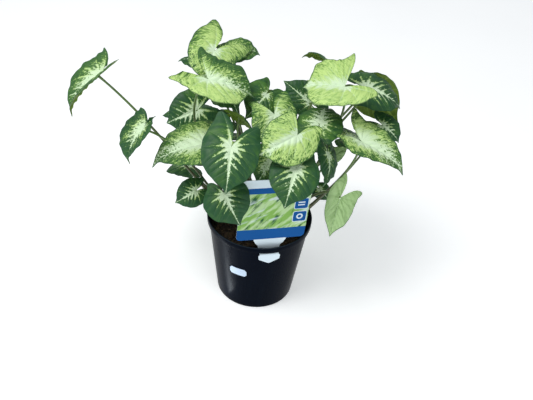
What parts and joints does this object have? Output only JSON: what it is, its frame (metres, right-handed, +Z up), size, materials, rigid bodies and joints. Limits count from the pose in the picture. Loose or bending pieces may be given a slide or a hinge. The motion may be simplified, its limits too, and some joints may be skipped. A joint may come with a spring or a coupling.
{
  "type": "potted syngonium",
  "caption": "Small variegated arrowhead plant in a round black nursery pot of soil, with a printed care card hooked through the pot's wall and a small price sticker.",
  "frame": {"origin": "centre of the pot's base, on the surface that it stands on", "axes": "+Z up; the care card faces -Y; +X to the right as seen from the front"},
  "size_m": [0.379, 0.2624, 0.319],
  "materials": {
    "pot plastic": "satin",
    "soil": "matte",
    "card": "satin",
    "sticker": "matte",
    "stalk": "satin",
    "leaf": "satin"
  },
  "bodies": {
    "root": {"pot": "pot plastic", "soil": "soil", "label": "card", "price_sticker": "sticker", "shoot_left": "stalk", "shoot_front_left": "stalk", "shoot_back_left": "stalk", "shoot_middle": "stalk", "shoot_front_right": "stalk", "shoot_right": "stalk", "shoot_back_right": "stalk", "leaf_far_left": "leaf", "leaf_left_low": "leaf", "leaf_top_back": "leaf", "leaf_top_front": "leaf", "leaf_dark_left": "leaf", "leaf_deep_shade": "leaf", "leaf_left_large": "leaf", "leaf_front_star": "leaf", "leaf_front_low": "leaf", "leaf_left_small": "leaf", "leaf_middle_pale": "leaf", "leaf_right_mid": "leaf", "leaf_right_top": "leaf", "leaf_right_back": "leaf", "leaf_right_tail": "leaf", "leaf_edge_on": "leaf", "leaf_right_pale": "leaf", "leaf_right_small": "leaf", "leaf_right_low": "leaf", "leaf_label_dark": "leaf", "leaf_right_inner": "leaf", "leaf_young_green": "leaf", "leaf_low_inner": "leaf", "leaf_centre_pale": "leaf", "leaf_centre_top": "leaf", "leaf_centre_under": "leaf", "leaf_small_dark": "leaf", "leaf_middle_olive": "leaf", "leaf_mottled_low": "leaf", "leaf_back_left": "leaf", "leaf_back_top": "leaf", "leaf_under_top": "leaf", "leaf_rear_one": "leaf", "leaf_rear_two": "leaf", "leaf_rear_three": "leaf", "leaf_rear_four": "leaf", "leaf_rear_five": "leaf", "leaf_rear_six": "leaf", "leaf_rear_seven": "leaf", "leaf_rear_eight": "leaf", "leaf_rear_nine": "leaf"}
  },
  "joints": []
}
